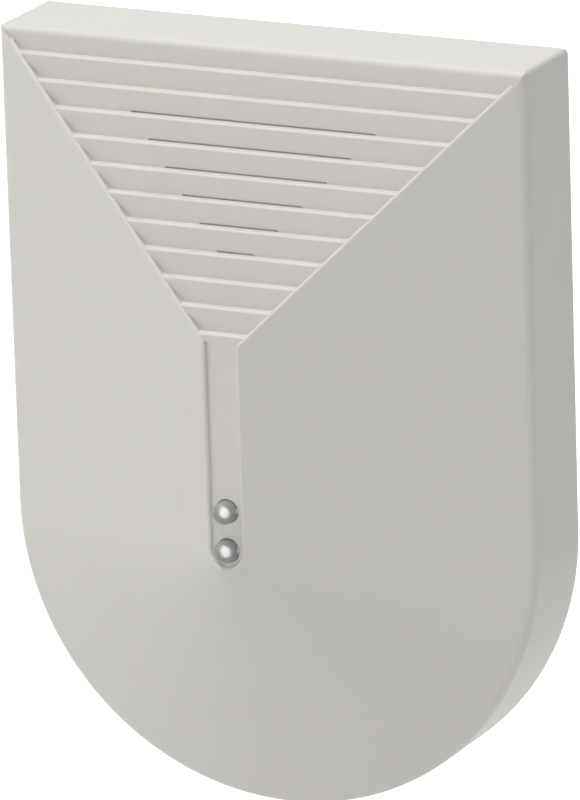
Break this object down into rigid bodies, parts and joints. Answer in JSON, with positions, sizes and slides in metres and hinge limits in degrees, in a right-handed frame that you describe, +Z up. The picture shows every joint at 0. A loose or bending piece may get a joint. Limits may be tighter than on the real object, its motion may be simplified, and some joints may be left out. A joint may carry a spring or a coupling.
{
  "type": "glass break sensor",
  "caption": "Wall-mounted acoustic glass break sensor: ridged plastic cover with stepped louvre, sound slots and indicator lamps over a base with a circuit board.",
  "frame": {"origin": "on the mounting face, at the centre of the half round that forms the lower end", "axes": "+X to the right as seen from the room, +Y into the wall, +Z up"},
  "size_m": [0.062, 0.0235, 0.0841],
  "materials": {
    "housing_plastic": "fine moulded texture, warm light grey",
    "board_laminate": "green solder mask",
    "steel": "plated",
    "aluminium_can": "satin",
    "felt": "black felt",
    "boot_rubber": "matte black rubber",
    "led_resin": "clear resin",
    "black_plastic": "matte",
    "terminal_plastic": "satin green",
    "button_plastic": "matte white",
    "trimmer_plastic": "matte blue",
    "relay_plastic": "satin ivory",
    "gold_pins": "gold plated",
    "ceramic": "matte tan"
  },
  "bodies": {
    "base": {"rear_base": "housing_plastic", "circuit_board": "board_laminate", "board_screws": "steel", "microphone_capsule": "aluminium_can", "microphone_felt": "felt", "microphone_boot": "boot_rubber", "led_lower": "led_resin", "led_upper": "led_resin", "led_leads": "steel", "led_spacer": "black_plastic", "terminal_block": "terminal_plastic", "terminal_clamps": "steel", "terminal_screws": "steel", "tamper_switch_body": "black_plastic", "trimmer_body": "trimmer_plastic", "alarm_relay": "relay_plastic", "jumper_header": "black_plastic", "header_pins": "gold_pins", "jumper_caps": "black_plastic", "signal_processor": "black_plastic", "amplifier_left": "black_plastic", "amplifier_right": "black_plastic", "electrolytic_capacitors": "aluminium_can", "crystal": "steel", "voltage_regulator": "black_plastic", "protection_diodes": "black_plastic", "chip_resistors": "black_plastic", "ceramic_capacitors": "ceramic"},
    "cover": {"front_cover": "housing_plastic"},
    "tamper_button": {"tamper_switch_button": "button_plastic"},
    "trimmer_rotor": {"trimmer_rotor": "button_plastic"}
  },
  "joints": [
    {"name": "cover_pull", "type": "slide", "parent": "base", "child": "cover", "axis": [0, -1, 0], "range_m": [0, 0.03]},
    {"name": "tamper_button_slide", "type": "slide", "parent": "base", "child": "tamper_button", "axis": [0, -1, 0], "range_m": [0, 0.0012]},
    {"name": "trimmer_turn", "type": "hinge", "parent": "base", "child": "trimmer_rotor", "pos_m": [0.0174, -0.0106, 0.012], "axis": [0, -1, 0], "range_deg": [-135, 135]}
  ],
  "couplings": [
    {"joint": "tamper_button_slide", "follows": "cover_pull", "ratio": 0.04}
  ]
}
